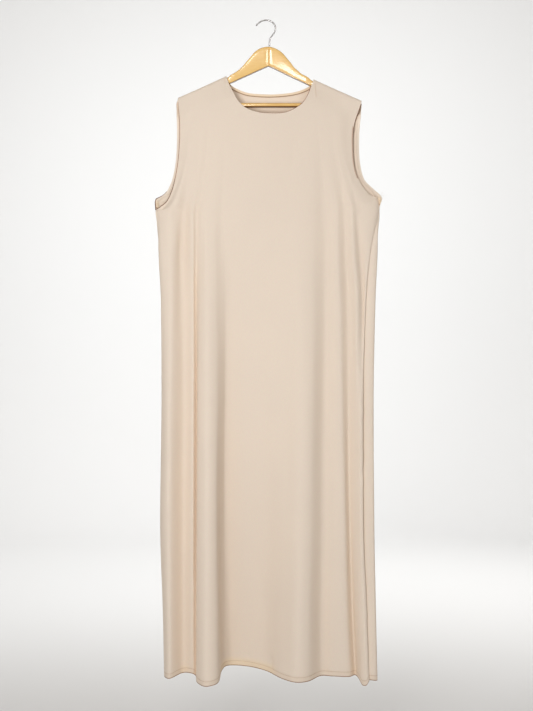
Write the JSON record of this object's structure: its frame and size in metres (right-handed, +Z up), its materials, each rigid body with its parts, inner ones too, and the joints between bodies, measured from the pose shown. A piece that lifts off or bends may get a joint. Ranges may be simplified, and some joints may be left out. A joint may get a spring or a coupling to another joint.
{
  "type": "sleeveless full-length abaya on a wooden hanger",
  "caption": "Sleeveless full-length beige abaya with a round neck and soft hanging folds, on a contoured wooden hanger with a wire hook and a trouser bar.",
  "frame": {"origin": "inside of the top of the hanger's hook, where a rail carries it", "axes": "+Z up along the garment, +X to the viewer's right as the front is faced, -Y towards the viewer, so the front panel faces -Y"},
  "size_m": [0.5301, 0.197, 1.5657],
  "materials": {
    "beige_crepe": "matte crepe weave",
    "beige_crepe_facing": "matte crepe weave, turned edge",
    "honey_lacquered_wood": "clear gloss lacquer",
    "bright_steel": "polished wire"
  },
  "bodies": {
    "root": {"front_panel_upper": "beige_crepe", "front_panel_middle": "beige_crepe", "front_panel_lower": "beige_crepe", "back_panel_upper": "beige_crepe", "back_panel_middle": "beige_crepe", "back_panel_lower": "beige_crepe", "hem_turn_front": "beige_crepe_facing", "hem_turn_back": "beige_crepe_facing", "neck_facing_front": "beige_crepe_facing", "neck_facing_back": "beige_crepe_facing", "armhole_facing_front_left": "beige_crepe_facing", "armhole_facing_front_right": "beige_crepe_facing", "armhole_facing_back_left": "beige_crepe_facing", "armhole_facing_back_right": "beige_crepe_facing", "hanger_wood": "honey_lacquered_wood", "hanger_bar": "honey_lacquered_wood", "hook": "bright_steel"}
  },
  "joints": []
}
